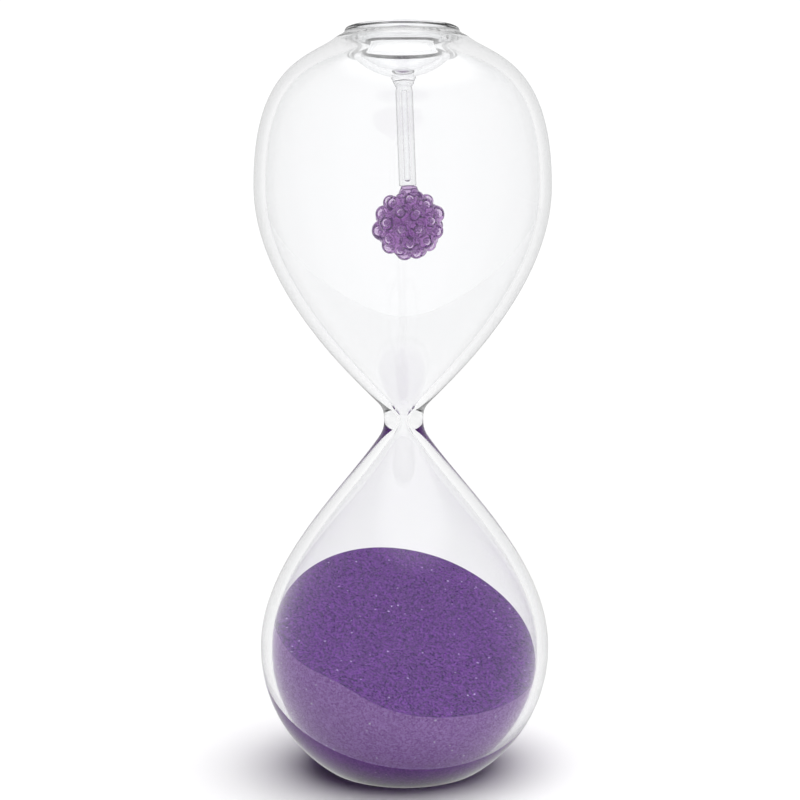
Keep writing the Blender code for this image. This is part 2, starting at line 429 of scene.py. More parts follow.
def new_group(name: str, inputs: dict[str, str], outputs: dict[str, str]) -> NodeBench:
    """Makes an empty node group.

    Args:
        name: What to call it.
        inputs: The kind of each input socket by its name.
        outputs: The kind of each output socket by its name.

    Returns:
        The bench for the group's tree.
    """
    group = bpy.data.node_groups.new(name, "ShaderNodeTree")
    for side, sockets in (("INPUT", inputs), ("OUTPUT", outputs)):
        for label, kind in sockets.items():
            group.interface.new_socket(label, in_out=side, socket_type=kind)
    return NodeBench(group)


def new_material(name: str) -> tuple[bpy.types.Material, NodeBench]:
    """Makes a material without nodes.

    Args:
        name: What to call it.

    Returns:
        The material and the bench for its tree.
    """
    material = bpy.data.materials.new(name)
    material.use_nodes = True
    material.node_tree.nodes.clear()
    return material, NodeBench(material.node_tree)


@dataclass(frozen=True)
class GlassWaves:
    """The slow waves of hand-blown glass, as a node group that every glass shares."""

    detail: float = 1.0

    def make(self) -> bpy.types.ShaderNodeTree:
        """Builds the node group.

        Returns:
            The group, from Scale, Tint and Streak to Color and Height.
        """
        inputs = {"Scale": FLOAT_SOCKET, "Tint": COLOUR_SOCKET, "Streak": COLOUR_SOCKET}
        bench = new_group("glass_waves", inputs, {"Color": COLOUR_SOCKET, "Height": FLOAT_SOCKET})
        asked = bench.add("NodeGroupInput")
        cloud = bench.add("ShaderNodeTexNoise", inputs={"Detail": self.detail})
        bench.feed(cloud.inputs["Vector"], bench.add("ShaderNodeTexCoord").outputs["Object"])
        bench.feed(cloud.inputs["Scale"], asked.outputs["Scale"])
        wave = cloud.outputs["Fac"]
        given = bench.add("NodeGroupOutput")
        shade = bench.blend(wave, asked.outputs["Tint"], asked.outputs["Streak"])
        bench.feed(given.inputs["Color"], shade)
        bench.feed(given.inputs["Height"], wave)
        return bench.tree


@dataclass(frozen=True)
class BlownGlass:
    """Clear or tinted glass, with painted shade where its surface turns away from the view."""

    name: str
    tint: Colour
    streak: Colour
    absorbed: Colour
    absorption: float
    lamp_tint: Colour
    # Painted shade: the colour the glass takes towards its outline, and where that starts.
    edge: Colour
    painted_edge_shade_start: float
    ior: float = 1.47
    wave_size: float = 0.012
    wave_height: float = 0.000004

    def make(self, waves: bpy.types.ShaderNodeTree) -> bpy.types.Material:
        """Builds the material.

        Args:
            waves: The node group of the waves.

        Returns:
            The finished material.
        """
        material, bench = new_material(self.name)
        look = bench.add("ShaderNodeGroup", node_tree=waves)
        look.inputs["Scale"].default_value = 1 / self.wave_size
        look.inputs["Tint"].default_value = rgba(self.tint)
        look.inputs["Streak"].default_value = rgba(self.streak)
        facing = bench.add("ShaderNodeLayerWeight", inputs={"Blend": 0.5}).outputs["Facing"]
        # Painted shade: the base colour turns to the edge colour where the surface turns away from
        # the view.
        in_painted_edge_shade = bench.ramp(facing, self.painted_edge_shade_start, 1.0)
        glass = bench.add(
            "ShaderNodeBsdfPrincipled",
            inputs={"Roughness": 0.0, "IOR": self.ior, "Transmission Weight": 1.0, "Metallic": 0.0},
        )
        colour = bench.blend(in_painted_edge_shade, look.outputs["Color"], rgba(self.edge))
        bench.feed(glass.inputs["Base Color"], colour)
        if self.wave_height:
            depth = {"Strength": 1.0, "Distance": self.wave_height}
            bump = bench.add("ShaderNodeBump", inputs=depth)
            bench.feed(bump.inputs["Height"], look.outputs["Height"])
            bench.feed(glass.inputs["Normal"], bump.outputs["Normal"])
        clear = bench.add("ShaderNodeBsdfTransparent", inputs={"Color": rgba(self.lamp_tint)})
        mix = bench.add("ShaderNodeMixShader")
        bench.feed(mix.inputs["Fac"], bench.add("ShaderNodeLightPath").outputs["Is Shadow Ray"])
        bench.feed(mix.inputs[1], glass.outputs["BSDF"])
        bench.feed(mix.inputs[2], clear.outputs["BSDF"])
        body = bench.add(
            "ShaderNodeVolumeAbsorption",
            inputs={"Color": rgba(self.absorbed), "Density": self.absorption},
        )
        output = bench.add("ShaderNodeOutputMaterial")
        bench.feed(output.inputs["Surface"], mix.outputs["Shader"])
        bench.feed(output.inputs["Volume"], body.outputs["Volume"])
        return material


@dataclass(frozen=True)
class Grains:
    """The grain-by-grain look of fine sand, with painted glints on a few grains, as a node group
    that several finishes share.
    """

    grain: float = 0.00048
    painted_glint_share: float = 0.003
    clump_size: float = 0.0016
    clump_share: float = 0.2

    def make(self) -> bpy.types.ShaderNodeTree:
        """Builds the node group.

        Returns:
            The group, from Dark, Light and PaintedGlint to Color and Height.
        """
        inputs = dict.fromkeys(("Dark", "Light", "PaintedGlint"), COLOUR_SOCKET)
        bench = new_group("sand_grains", inputs, {"Color": COLOUR_SOCKET, "Height": FLOAT_SOCKET})
        asked = bench.add("NodeGroupInput")
        place = bench.add("ShaderNodeTexCoord").outputs["Object"]
        cells = bench.add("ShaderNodeTexVoronoi", inputs={"Scale": 1 / self.grain})
        bench.feed(cells.inputs["Vector"], place)
        clumps = bench.add(
            "ShaderNodeTexNoise", inputs={"Scale": 1 / self.clump_size, "Detail": 2.0}
        )
        bench.feed(clumps.inputs["Vector"], place)
        split = bench.add("ShaderNodeSeparateColor")
        bench.feed(split.inputs["Color"], cells.outputs["Color"])
        shade = bench.mix(self.clump_share, split.outputs["Red"], clumps.outputs["Fac"])
        body = bench.blend(shade, asked.outputs["Dark"], asked.outputs["Light"])
        # Painted highlight: a few grains take the glint colour.
        painted_glint_mask = bench.math("GREATER_THAN", split.outputs["Green"], 1 - self.painted_glint_share)
        given = bench.add("NodeGroupOutput")
        bench.feed(given.inputs["Color"], bench.blend(painted_glint_mask, body, asked.outputs["PaintedGlint"]))
        bench.feed(given.inputs["Height"], bench.math("ADD", cells.outputs["Distance"], shade))
        return bench.tree


@dataclass(frozen=True)
class PaintedShadeLayer:
    """Where painted shade darkens the low sand, below a tilted level, with a painted highlight as a
    paler seam along the level.
    """

    down: Vector  # the direction in which it lies
    reach: float  # how far the level is from the object's middle, along that direction
    seam: float  # the seam's width
    softness: float  # how much depth the change of shade takes
    painted_shade: Colour  # what the sand's colour is multiplied by below the level
    seam_painted_highlight: Colour  # and what it is multiplied by in the seam


@dataclass(frozen=True)
class FineSand:
    """Dyed quartz sand: a grain-by-grain mix of violets, with painted highlights as glints on a few
    grains.
    """

    name: str
    dark: Colour
    light: Colour
    painted_glint: Colour
    relief: float = 0.00012
    relief_strength: float = 0.8
    layer: PaintedShadeLayer | None = None

    def make(self, grains: bpy.types.ShaderNodeTree) -> bpy.types.Material:
        """Builds the material.

        Args:
            grains: The node group of the grains.

        Returns:
            The finished material.
        """
        material, bench = new_material(self.name)
        look = bench.add("ShaderNodeGroup", node_tree=grains)
        for name, colour in (("Dark", self.dark), ("Light", self.light), ("PaintedGlint", self.painted_glint)):
            look.inputs[name].default_value = rgba(colour)
        colour = look.outputs["Color"]
        if self.layer:
            colour = self.with_painted_shade(bench, colour, self.layer)
        bump = bench.add(
            "ShaderNodeBump", inputs={"Strength": self.relief_strength, "Distance": self.relief}
        )
        bench.feed(bump.inputs["Height"], look.outputs["Height"])
        sand = bench.add(
            "ShaderNodeBsdfPrincipled",
            inputs={"Roughness": 0.85, "Metallic": 0.0, "Specular IOR Level": 0.25},
        )
        bench.feed(sand.inputs["Base Color"], colour)
        bench.feed(sand.inputs["Normal"], bump.outputs["Normal"])
        output = bench.add("ShaderNodeOutputMaterial")
        bench.feed(output.inputs["Surface"], sand.outputs["BSDF"])
        return material

    def with_painted_shade(
        self, bench: NodeBench, colour: bpy.types.NodeSocket, layer: PaintedShadeLayer
    ) -> bpy.types.NodeSocket:
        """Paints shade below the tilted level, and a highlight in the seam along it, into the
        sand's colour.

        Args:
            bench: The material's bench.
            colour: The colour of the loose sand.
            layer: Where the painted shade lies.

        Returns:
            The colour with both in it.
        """
        place = bench.add("ShaderNodeTexCoord").outputs["Object"]
        reach = bench.along(place, layer.down)
        low = bench.ramp(reach, layer.reach, layer.reach + layer.softness)
        # Painted shade: the sand is darker below the level.
        shade = bench.blend(low, (1.0, 1.0, 1.0, 1.0), rgba(layer.painted_shade))
        off_seam = bench.math("ABSOLUTE", bench.math("SUBTRACT", reach, layer.reach))
        seam = bench.math("SUBTRACT", 1.0, bench.ramp(off_seam, layer.seam / 2, layer.seam))
        # Painted highlight: the sand is lighter in the seam along the level.
        shade = bench.blend(seam, shade, rgba(layer.seam_painted_highlight))
        return bench.blend(1.0, colour, shade, "MULTIPLY")


# The edge colours below are painted shade along each glass's outline.
CLEAR_GLASS = BlownGlass(
    "clear_glass",
    tint=(0.99, 0.99, 0.995),
    streak=(0.98, 0.985, 0.99),
    absorbed=(0.5, 0.5, 0.5),
    absorption=12.0,
    lamp_tint=(0.97, 0.97, 0.97),
    edge=(0.58, 0.59, 0.60),
    painted_edge_shade_start=0.55,
)
DRAWN_GLASS = BlownGlass(
    "drawn_glass",
    tint=(0.99, 0.99, 0.995),
    streak=(0.97, 0.975, 0.98),
    absorbed=(0.5, 0.5, 0.5),
    absorption=12.0,
    lamp_tint=(0.97, 0.97, 0.97),
    edge=(0.05, 0.05, 0.055),
    painted_edge_shade_start=0.20,
    wave_height=0.0,
)
VIOLET_GLASS = BlownGlass(
    "violet_glass",
    tint=(0.86, 0.78, 0.90),
    streak=(0.95, 0.92, 0.97),
    absorbed=(0.52, 0.14, 0.62),
    absorption=150.0,
    lamp_tint=(0.75, 0.62, 0.82),
    edge=(0.32, 0.22, 0.38),
    painted_edge_shade_start=0.55,
    wave_size=0.004,
    wave_height=0.00004,
)
WAVES = GlassWaves()
GRAINS = Grains()
# Painted shade in the low sand below a tilted level, and a painted highlight along that level.
LOW_PAINTED_SHADE = PaintedShadeLayer(
    down=Vector((-0.13, 0.46, -0.878)),
    reach=-0.02345,
    seam=0.00035,
    softness=0.0006,
    painted_shade=(0.62, 0.32, 0.74),
    seam_painted_highlight=(1.2, 1.25, 1.2),
)
OPEN_SAND = FineSand(
    "violet_sand",
    dark=(0.0, 0.0, 0.03),
    light=(0.155, 0.034, 0.285),
    painted_glint=(0.42, 0.33, 0.56),
)
# The side against the glass: painted lighter than the open top, standing in for the light and the
# glass's reflection that it shows.
WALL_SAND_PAINTED_LIGHTER = FineSand(
    "violet_sand_at_glass_painted_lighter",
    dark=(0.27, 0.10, 0.44),
    light=(0.50, 0.28, 0.72),
    painted_glint=(0.68, 0.60, 0.80),
    layer=LOW_PAINTED_SHADE,
)


# The clear envelope


@dataclass
class Envelope:
    """The fused glass body: two bulbs, the waist, the mouth ring and its closing dish."""

    height: float
    lower_radius: float
    upper_radius: float
    upper_widest_below_top: float = 0.0481
    throat_height: float = 0.1093
    wall: float = 0.0034
    foot_radius: float = 0.0240
    foot_chamfer: float = 0.0011
    foot_ring_width: float = 0.0058
    punt_height: float = 0.0012
    punt_slope_width: float = 0.0040
    inner_drop: float = 0.0006
    inner_foot_radius: float = 0.0212
    inner_foot_turn: float = math.radians(37)
    waist_radius: float = 0.0061
    orifice_radius: float = 0.0011
    orifice_land: float = 0.0004
    lower_neck: Point = (0.0085, -0.0066)
    lower_neck_angle: float = math.radians(36)
    upper_neck: Point = (0.0089, 0.0061)
    upper_neck_angle: float = math.radians(45.5)
    lower_pulls: Point = (0.0254, 0.0208)
    upper_pulls: Point = (0.0152, 0.0285)
    shoulder_pulls: Point = (0.0375, 0.0095)
    lip_radius: float = 0.0175
    lip_round: float = 0.0009
    bore_radius: float = 0.0144
    mouth_root: Point = (0.0207, -0.0033)
    mouth_root_angle: float = math.radians(39)
    dish_wall: float = 0.0024
    dish_depth: float = 0.0141
    dish_edge: Point = (0.0141, -0.00735)
    dish_fillet: float = 0.0020
    lower_points: int = 40
    lower_inner_points: int = 36
    upper_points: int = 40
    shoulder_points: int = 36
    waist_points: int = 10
    steps: int = 208

    @classmethod
    def from_frame(cls) -> Envelope:
        """Takes the envelope's sizes from its CAD nodes.

        Returns:
            The envelope at those sizes.
        """
        return cls(
            height=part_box("mouth_ring")[1].z,
            lower_radius=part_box("lower_bulb")[1].x,
            upper_radius=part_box("upper_bulb")[1].x,
        )

    def lower_centre(self) -> float:
        """The height of the lower bulb's round part's middle."""
        return math.sqrt(self.lower_radius**2 - self.foot_radius**2)

    def foot_turn(self) -> float:
        """The angle, from straight down, at which the round side starts."""
        return math.asin((self.foot_radius + self.foot_chamfer) / self.lower_radius)

    def lower_neck_end(self) -> Point:
        """Where the lower bulb's outer side meets the waist."""
        return (self.lower_neck[0], self.throat_height + self.lower_neck[1])

    def upper_neck_end(self) -> Point:
        """Where the waist meets the upper bulb's outer side."""
        return (self.upper_neck[0], self.throat_height + self.upper_neck[1])

    def lower_neck_run(self) -> Point:
        """The direction up the side at the lower neck."""
        return (-math.sin(self.lower_neck_angle), math.cos(self.lower_neck_angle))

    def upper_neck_run(self) -> Point:
        """The direction up the side at the upper neck."""
        return (math.sin(self.upper_neck_angle), math.cos(self.upper_neck_angle))

    def foot(self) -> list[Point]:
        """Draws the bottom's outline.

        Returns:
            The points from the middle out to where the round side starts.
        """
        outer = self.foot_radius - self.foot_chamfer
        inner = outer - self.foot_ring_width
        middle = inner - self.punt_slope_width
        start = self.foot_turn()
        corner_height = self.lower_centre() - self.lower_radius * math.cos(start)
        corner = (self.foot_radius + self.foot_chamfer, corner_height)
        run = (math.cos(start), math.sin(start))
        half = self.punt_slope_width / 2
        points = [(0.0, self.punt_height), (middle / 2, self.punt_height)]
        points += cubic(
            (middle - half / 2, self.punt_height),
            (middle + half, self.punt_height),
            (inner - half, 0.0),
            (inner + half / 2, 0.0),
            8,
        )
        points.append((inner + half / 2, 0.0))
        pull = self.foot_chamfer * 0.6
        points += cubic((outer, 0.0), (outer + pull, 0.0), moved(corner, run, -pull), corner, 4)
        return points

    def lower_side(self, count: int) -> list[Point]:
        """Draws the lower bulb's outer side above its round part, up to the waist.

        Args:
            count: How many points to give.

        Returns:
            The points from the widest level up, without the neck.
        """
        centre, neck = self.lower_centre(), self.lower_neck_end()
        belly_pull = (self.lower_radius, centre + self.lower_pulls[0])
        neck_pull = moved(neck, self.lower_neck_run(), -self.lower_pulls[1])
        return cubic((self.lower_radius, centre), belly_pull, neck_pull, neck, count)

    def upper_side(self) -> list[Point]:
        """Draws the upper bulb's outer side, from the waist up to the mouth ring.

        Returns:
            The points in order, with both ends.
        """
        neck = self.upper_neck_end()
        root = (self.mouth_root[0], self.height + self.mouth_root[1])
        level = self.height - self.upper_widest_below_top
        widest = (self.upper_radius, level)
        root_outward = (math.cos(self.mouth_root_angle), -math.sin(self.mouth_root_angle))
        neck_pull = moved(neck, self.upper_neck_run(), self.upper_pulls[0])
        belly_pull = (self.upper_radius, level - self.upper_pulls[1])
        points = cubic(neck, neck_pull, belly_pull, widest, self.upper_points)
        shoulder_pull = (self.upper_radius, level + self.shoulder_pulls[0])
        root_pull = moved(root, root_outward, self.shoulder_pulls[1])
        points += cubic(widest, shoulder_pull, root_pull, root, self.shoulder_points)
        points.append(root)
        return points

    def waist_side(self) -> list[Point]:
        """Draws the waist's outer side between the two necks.

        Returns:
            The points in order, without the upper neck's.
        """
        lower, upper = self.lower_neck_end(), self.upper_neck_end()
        middle = (self.waist_radius, self.throat_height)
        reach = (upper[1] - self.throat_height) / 2
        lower_pull = moved(lower, self.lower_neck_run(), reach)
        upper_pull = moved(upper, self.upper_neck_run(), -reach)
        count = self.waist_points
        points = cubic(lower, lower_pull, moved(middle, DOWN, reach), middle, count)
        points += cubic(middle, moved(middle, UP, reach), upper_pull, upper, count)
        return points

    def dish_centre(self) -> tuple[Point, float]:
        """Works out the dish's round underside from its depth and its edge.

        Returns:
            Its middle and its radius.
        """
        sag = self.dish_depth + self.dish_edge[1]
        curvature = (self.dish_edge[0] ** 2 + sag**2) / (2 * sag)
        return (0.0, self.height - self.dish_depth + curvature), curvature

    def mouth(self) -> list[Point]:
        """Draws the mouth's outline over the lip and down the bore.

        Returns:
            The points from above the root to the middle of the dish.
        """
        root = (self.mouth_root[0], self.height + self.mouth_root[1])
        run = (-math.cos(self.mouth_root_angle), math.sin(self.mouth_root_angle))
        lip_centre = (self.lip_radius - self.lip_round, self.height - self.lip_round)
        bore_centre = (self.bore_radius + self.lip_round, self.height - self.lip_round)
        lip = arc(lip_centre, self.lip_round, math.pi / 2, math.pi, 6)
        root_pull = moved(root, run, self.lip_round)
        points = cubic(root, root_pull, moved(lip[0], DOWN, self.lip_round), lip[0], 8)[1:]
        points += lip
        points += arc(bore_centre, self.lip_round, math.pi, 3 * math.pi / 2, 6)
        centre, curvature = self.dish_centre()
        top = curvature - self.dish_wall
        meet = math.asin((self.bore_radius - self.dish_fillet) / top)
        start = (self.bore_radius, centre[1] - top * math.cos(meet) + self.dish_fillet)
        seat = arc(centre, top, meet, 0.0, 24)
        slope = (math.cos(meet), math.sin(meet))
        points += eased_line(points[-1], start, 4)
        half = self.dish_fillet / 2
        points += cubic(start, moved(start, DOWN, half), moved(seat[0], slope, half), seat[0], 6)
        points += seat
        points[-1] = (0.0, points[-1][1])
        return points

    def outer(self) -> list[Point]:
        """Draws the outside's outline.

        Returns:
            The points from the middle of the bottom to the middle of the dish.
        """
        centre = (0.0, self.lower_centre())
        points = self.foot()
        points += arc(centre, self.lower_radius, self.foot_turn(), math.pi / 2, 30)[:-1]
        points += self.lower_side(self.lower_points)
        points += self.waist_side()
        points += self.upper_side()
        points += self.mouth()
        return points

    def lower_inner(self) -> list[Point]:
        """Draws the lower bulb's inner outline.

        Returns:
            The points from the middle of its floor up to the waist.
        """
        centre = (0.0, self.lower_centre() - self.inner_drop)
        radius = self.lower_radius - self.wall
        floor = self.wall - self.inner_drop
        side = arc(centre, radius, self.inner_foot_turn, math.pi / 2, 24)
        run = (math.cos(self.inner_foot_turn), math.sin(self.inner_foot_turn))
        reach = (side[0][0] - self.inner_foot_radius) / 2
        points = [(0.0, floor), (self.inner_foot_radius / 2, floor)]
        start = (self.inner_foot_radius, floor)
        points += cubic(start, (start[0] + reach, floor), moved(side[0], run, -reach), side[0], 10)
        points += side
        slant = self.lower_side(self.lower_inner_points) + [self.lower_neck_end()]
        points += offset(slant, self.wall)
        return points

    def upper_inner(self) -> list[Point]:
        """The upper bulb's inner outline, from the waist up to its shoulder."""
        return offset(self.upper_side(), self.wall)

    def throat(self) -> list[Point]:
        """Draws the inner outline through the orifice.

        Returns:
            The points between the ends of the two bulbs' inner sides.
        """
        lower, upper = self.lower_inner()[-1], self.upper_inner()[0]
        land_bottom = (self.orifice_radius, self.throat_height - self.orifice_land)
        land_top = (self.orifice_radius, self.throat_height + self.orifice_land)
        lower_reach = (land_bottom[1] - lower[1]) / 2
        upper_reach = (upper[1] - land_top[1]) / 2
        lower_pull = moved(lower, self.lower_neck_run(), lower_reach)
        upper_pull = moved(upper, self.upper_neck_run(), -upper_reach)
        bottom_pull = moved(land_bottom, DOWN, lower_reach / 2)
        points = cubic(lower, lower_pull, bottom_pull, land_bottom, 12)[1:]
        points.append(land_bottom)
        points += cubic(land_top, moved(land_top, UP, upper_reach / 2), upper_pull, upper, 12)
        return points

    def inner(self) -> list[Point]:
        """Draws the hollow's outline.

        Returns:
            The points from the middle of its floor to the middle of the dish's underside.
        """
        points = self.lower_inner() + self.throat() + self.upper_inner()
        centre, curvature = self.dish_centre()
        edge_angle = math.asin(self.dish_edge[0] / curvature)
        dish = arc(centre, curvature, edge_angle, 0.0, 30)
        rise = unit_between(points[-2], points[-1])
        slope = (math.cos(edge_angle), math.sin(edge_angle))
        reach = math.dist(points[-1], dish[0]) / 2
        shoulder_end = points.pop()
        shoulder_pull, dish_pull = moved(shoulder_end, rise, reach), moved(dish[0], slope, reach)
        points += cubic(shoulder_end, shoulder_pull, dish_pull, dish[0], 12)
        points += dish
        points[-1] = (0.0, points[-1][1])
        return points

    def build(self) -> bpy.types.Object:
        """Turns both skins and joins them.

        Returns:
            The finished body.
        """
        outside = turned_skin(self.outer(), self.steps, Facing.OUTWARD)
        inside = turned_skin(self.inner(), self.steps, Facing.INTO_HOLLOW)
        body = joined("glass_envelope", [outside, inside])
        shade_smooth(body)
        return body

    def dress(self, body: bpy.types.Object, glass: bpy.types.Material) -> None:
        """Gives the body its glass and ties it to the frame.

        Args:
            body: The finished body.
            glass: Its finish.
        """
        clad(body, glass)
        hand_over(
            body, "clear_glass", "upper_bulb", "lower_bulb", "waist", "mouth_ring", "closing_dish"
        )


@dataclass
class Stem:
    """The hollow clear stem, drawn into a small weld under the dish."""

    top: Vector
    bottom: Vector
    radius: float = 0.00265
    bore_radius: float = 0.0009
    bore_above_end: float = 0.0012
    bore_below_weld: float = 0.0004
    weld_radius: float = 0.0029
    weld_height: float = 0.0034
    end_rows: tuple[float, ...] = (0.0002, 0.0005, 0.0015)  # above the end, which they keep crisp
    pinch_rows: tuple[float, ...] = (0.0040, 0.0020)  # below the weld, likewise
    pinch: Point = (0.0002, 0.0006)  # how far in, and how far above the weld's lower end
    root_flare: float = 0.0010
    root_crown: float = 0.0001
    sunk: float = 0.0002
    steps: int = 192

    @classmethod
    def from_frame(cls) -> Stem:
        """Takes the stem's line and its ends from its CAD nodes.

        Returns:
            The stem between those ends.
        """
        weld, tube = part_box("stem_weld"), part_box("stem_tube")
        weld_middle = (weld[0] + weld[1]) / 2
        tube_middle = (tube[0] + tube[1]) / 2
        along = (weld_middle - tube_middle).normalized()
        top = tube_middle + along * ((weld[1].z - tube_middle.z) / along.z)
        bottom = tube_middle + along * ((tube[0].z - tube_middle.z) / along.z)
        return cls(top, bottom)

    def outer(self, length: float) -> list[Point]:
        """Draws the outside's outline.

        Args:
            length: How long the stem is, with its weld.

        Returns:
            The points from the lower end up over the weld, whose top is at height 0.
        """
        low, high = -length, -self.weld_height
        depth, rise = self.pinch
        pinched = (self.radius - depth, high + rise)
        root = (self.weld_radius + self.root_flare, self.sunk)
        points = [(0.0, low)]
        points += [(self.radius - inset, low) for inset in (self.end_rows[1], self.end_rows[0])]
        points += [(self.radius, low + row) for row in self.end_rows]
        points += [(self.radius, low / 2)]
        points += [(self.radius, high - row) for row in self.pinch_rows]
        points += cubic(
            (self.radius, high - 2 * rise),
            (self.radius, high - depth),
            (self.radius - 2 * depth, high + depth / 2),
            pinched,
            6,
        )
        points += cubic(
            pinched,
            (self.weld_radius + depth, high + 2 * rise),
            (self.weld_radius + 2 * depth, -rise),
            root,
            10,
        )
        points += [root, (0.0, self.sunk + self.root_crown)]
        return points

    def bore(self, length: float) -> list[Point]:
        """Draws the bore's outline, closed and round at both ends.

        Args:
            length: How long the stem is, with its weld.

        Returns:
            The points from the lower end up.
        """
        low = -length + self.bore_above_end
        high = -self.weld_height - self.bore_below_weld
        bottom, top = low + self.bore_radius, high - self.bore_radius
        points = arc((0.0, bottom), self.bore_radius, 0.0, math.pi / 2, 8)
        row = self.end_rows[1]
        points += [(self.bore_radius, bottom + row), (self.bore_radius, top - row)]
        points += arc((0.0, top), self.bore_radius, math.pi / 2, math.pi, 8)
        points[0] = (0.0, points[0][1])
        points[-1] = (0.0, points[-1][1])
        return points

    def build(self) -> bpy.types.Object:
        """Turns the stem upright, then leans it into its place.

        Returns:
            The finished stem.
        """
        line = self.top - self.bottom
        outside = turned_skin(self.outer(line.length), self.steps, Facing.OUTWARD)
        hollow = turned_skin(self.bore(line.length), self.steps, Facing.INTO_HOLLOW)
        stem = joined("stem", [outside, hollow])
        stem.rotation_mode = "QUATERNION"
        stem.rotation_quaternion = Vector((0, 0, 1)).rotation_difference(line.normalized())
        stem.location = self.top
        bpy.ops.object.transform_apply(location=True, rotation=True, scale=True)
        shade_smooth(stem)
        return stem

    def dress(self, stem: bpy.types.Object, glass: bpy.types.Material) -> None:
        """Gives the stem its glass and ties it to the frame.

        Args:
            stem: The finished stem.
            glass: Its finish.
        """
        clad(stem, glass)
        hand_over(stem, "clear_glass", "stem_weld", "stem_tube")


@dataclass
class Berry:
    """The violet glass berry: round beads fused over a core that reaches up to the stem."""

    beads: list[tuple[Vector, float]]
    nodes: list[str]
    middle: Vector
    neck_top: float
    core_radius: float = 0.0086
    neck_radius: float = 0.0025
    neck_flare: float = 1.7
    bead_swells: tuple[float, ...] = (1.10, 1.26, 1.16, 1.32, 1.06, 1.22, 1.18)
    bead_sink: float = 0.0003
    voxel: float = 0.00024
    melt_rounds: int = 3
    hollow_radius: float = 0.0032
    bubble_share: float = 0.42
    crown_radius: float = 0.0033
    crown_lumps: tuple[tuple[float, float, float], ...] = (  # aside, below the neck's top, size
        (0.0, 0.85, 1.0),
        (-0.6, 1.35, 0.75),
        (0.65, 1.25, 0.8),
    )

    @classmethod
    def from_frame(cls, nodes: list[str]) -> Berry:
        """Takes the place of every bead and of the core from their CAD nodes.

        Args:
            nodes: The names of all the CAD nodes.

        Returns:
            The berry's sizes and places.
        """
        names = sorted(name for name in nodes if name.startswith("berry_bead_"))
        beads = []
        for name in names:
            low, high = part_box(name)
            beads.append(((low + high) / 2, (high.x - low.x) / 2))
        low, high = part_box("berry_core")
        middle = Vector(((low.x + high.x) / 2, (low.y + high.y) / 2, low.z + (high.y - low.y) / 2))
        return cls(beads, [*names, "berry_core"], middle, high.z)

    def ball(self, centre: Vector, radius: float, fineness: int) -> bpy.types.Object:
        """Makes a round lump.

        Args:
            centre: Its middle.
            radius: Its radius.
            fineness: How many times its facets are divided.

        Returns:
            The lump as an object.
        """
        deselect()
        bpy.ops.mesh.primitive_ico_sphere_add(subdivisions=fineness, radius=radius, location=centre)
        bpy.ops.object.transform_apply(location=True, rotation=True, scale=True)
        return bpy.context.object

    def swollen_beads(self) -> list[bpy.types.Object]:
        """Makes the beads, swollen by turns and sunk a little into the core.

        Returns:
            One lump for each bead.
        """
        lumps = []
        for index, (centre, radius) in enumerate(self.beads):
            swell = self.bead_swells[index % len(self.bead_swells)]
            towards = (self.middle - centre).normalized()
            sunk = self.bead_sink + radius * (swell - 1.0) / 2
            lumps.append(self.ball(centre + towards * sunk, radius * swell, 4))
        return lumps

    def crown(self) -> list[bpy.types.Object]:
        """Makes the lumps that crowd round the neck.

        Returns:
            One lump for each entry of crown_lumps.
        """
        lumps = []
        for aside, below, size in self.crown_lumps:
            centre = Vector((self.middle.x, self.middle.y, self.neck_top))
            centre += Vector((aside, -abs(aside), -below)) * self.crown_radius
            lumps.append(self.ball(centre, self.crown_radius * size, 4))
        return lumps

    def neck(self) -> bpy.types.Object:
        """Makes the neck, which tapers from the core's middle up to the stem.

        Returns:
            The neck as an object.
        """
        length = self.neck_top - self.middle.z
        deselect()
        bpy.ops.mesh.primitive_cone_add(
            vertices=48,
            radius1=self.neck_radius * self.neck_flare,
            radius2=self.neck_radius,
            depth=length,
            location=self.middle + Vector((0.0, 0.0, length / 2)),
        )
        bpy.ops.object.transform_apply(location=True, rotation=True, scale=True)
        return bpy.context.object

    def bubbles(self) -> bpy.types.Object:
        """Makes the hollows inside the berry, one in its core and one in each bead.

        Returns:
            The walls of all the hollows as one object.
        """
        hollows = [self.ball(self.middle, self.hollow_radius, 5)]
        for centre, radius in self.beads:
            hollows.append(self.ball(centre, radius * self.bubble_share, 3))
        walls = joined("bubbles", hollows)
        bpy.ops.object.mode_set(mode="EDIT")
        bpy.ops.mesh.select_all(action="SELECT")
        bpy.ops.mesh.flip_normals()
        bpy.ops.object.mode_set(mode="OBJECT")
        return walls

    def build(self) -> bpy.types.Object:
        """Fuses the lumps, melts the creases a little and puts the bubbles in.

        Returns:
            The finished berry.
        """
        core = self.ball(self.middle, self.core_radius, 5)
        berry = joined("berry", [core, *self.swollen_beads(), *self.crown(), self.neck()])
        remesh = berry.modifiers.new("fuse", "REMESH")
        remesh.mode = "VOXEL"
        remesh.voxel_size = self.voxel
        melt = berry.modifiers.new("melt", "SMOOTH")
        melt.factor = 0.5
        melt.iterations = self.melt_rounds
        apply_modifiers(berry)
        berry = joined("berry", [berry, self.bubbles()])
        shade_smooth(berry)
        return berry

    def dress(self, berry: bpy.types.Object, glass: bpy.types.Material) -> None:
        """Gives the berry its glass and ties it to the frame.

        Args:
            berry: The finished berry.
            glass: Its finish.
        """
        clad(berry, glass)
        hand_over(berry, "violet_glass", *self.nodes)


@dataclass(frozen=True)
class Wave:
    """A soft rise, or a dip with a negative height, in the sand's top."""

    middle: Vector
    reach: float
    height: float

    def lift(self, place: Vector) -> float:
        """How far the wave lifts a point of the level top, given in the top's own frame."""
        far = (place.xy - self.middle.xy).length / self.reach
        return self.height * math.exp(-far * far)


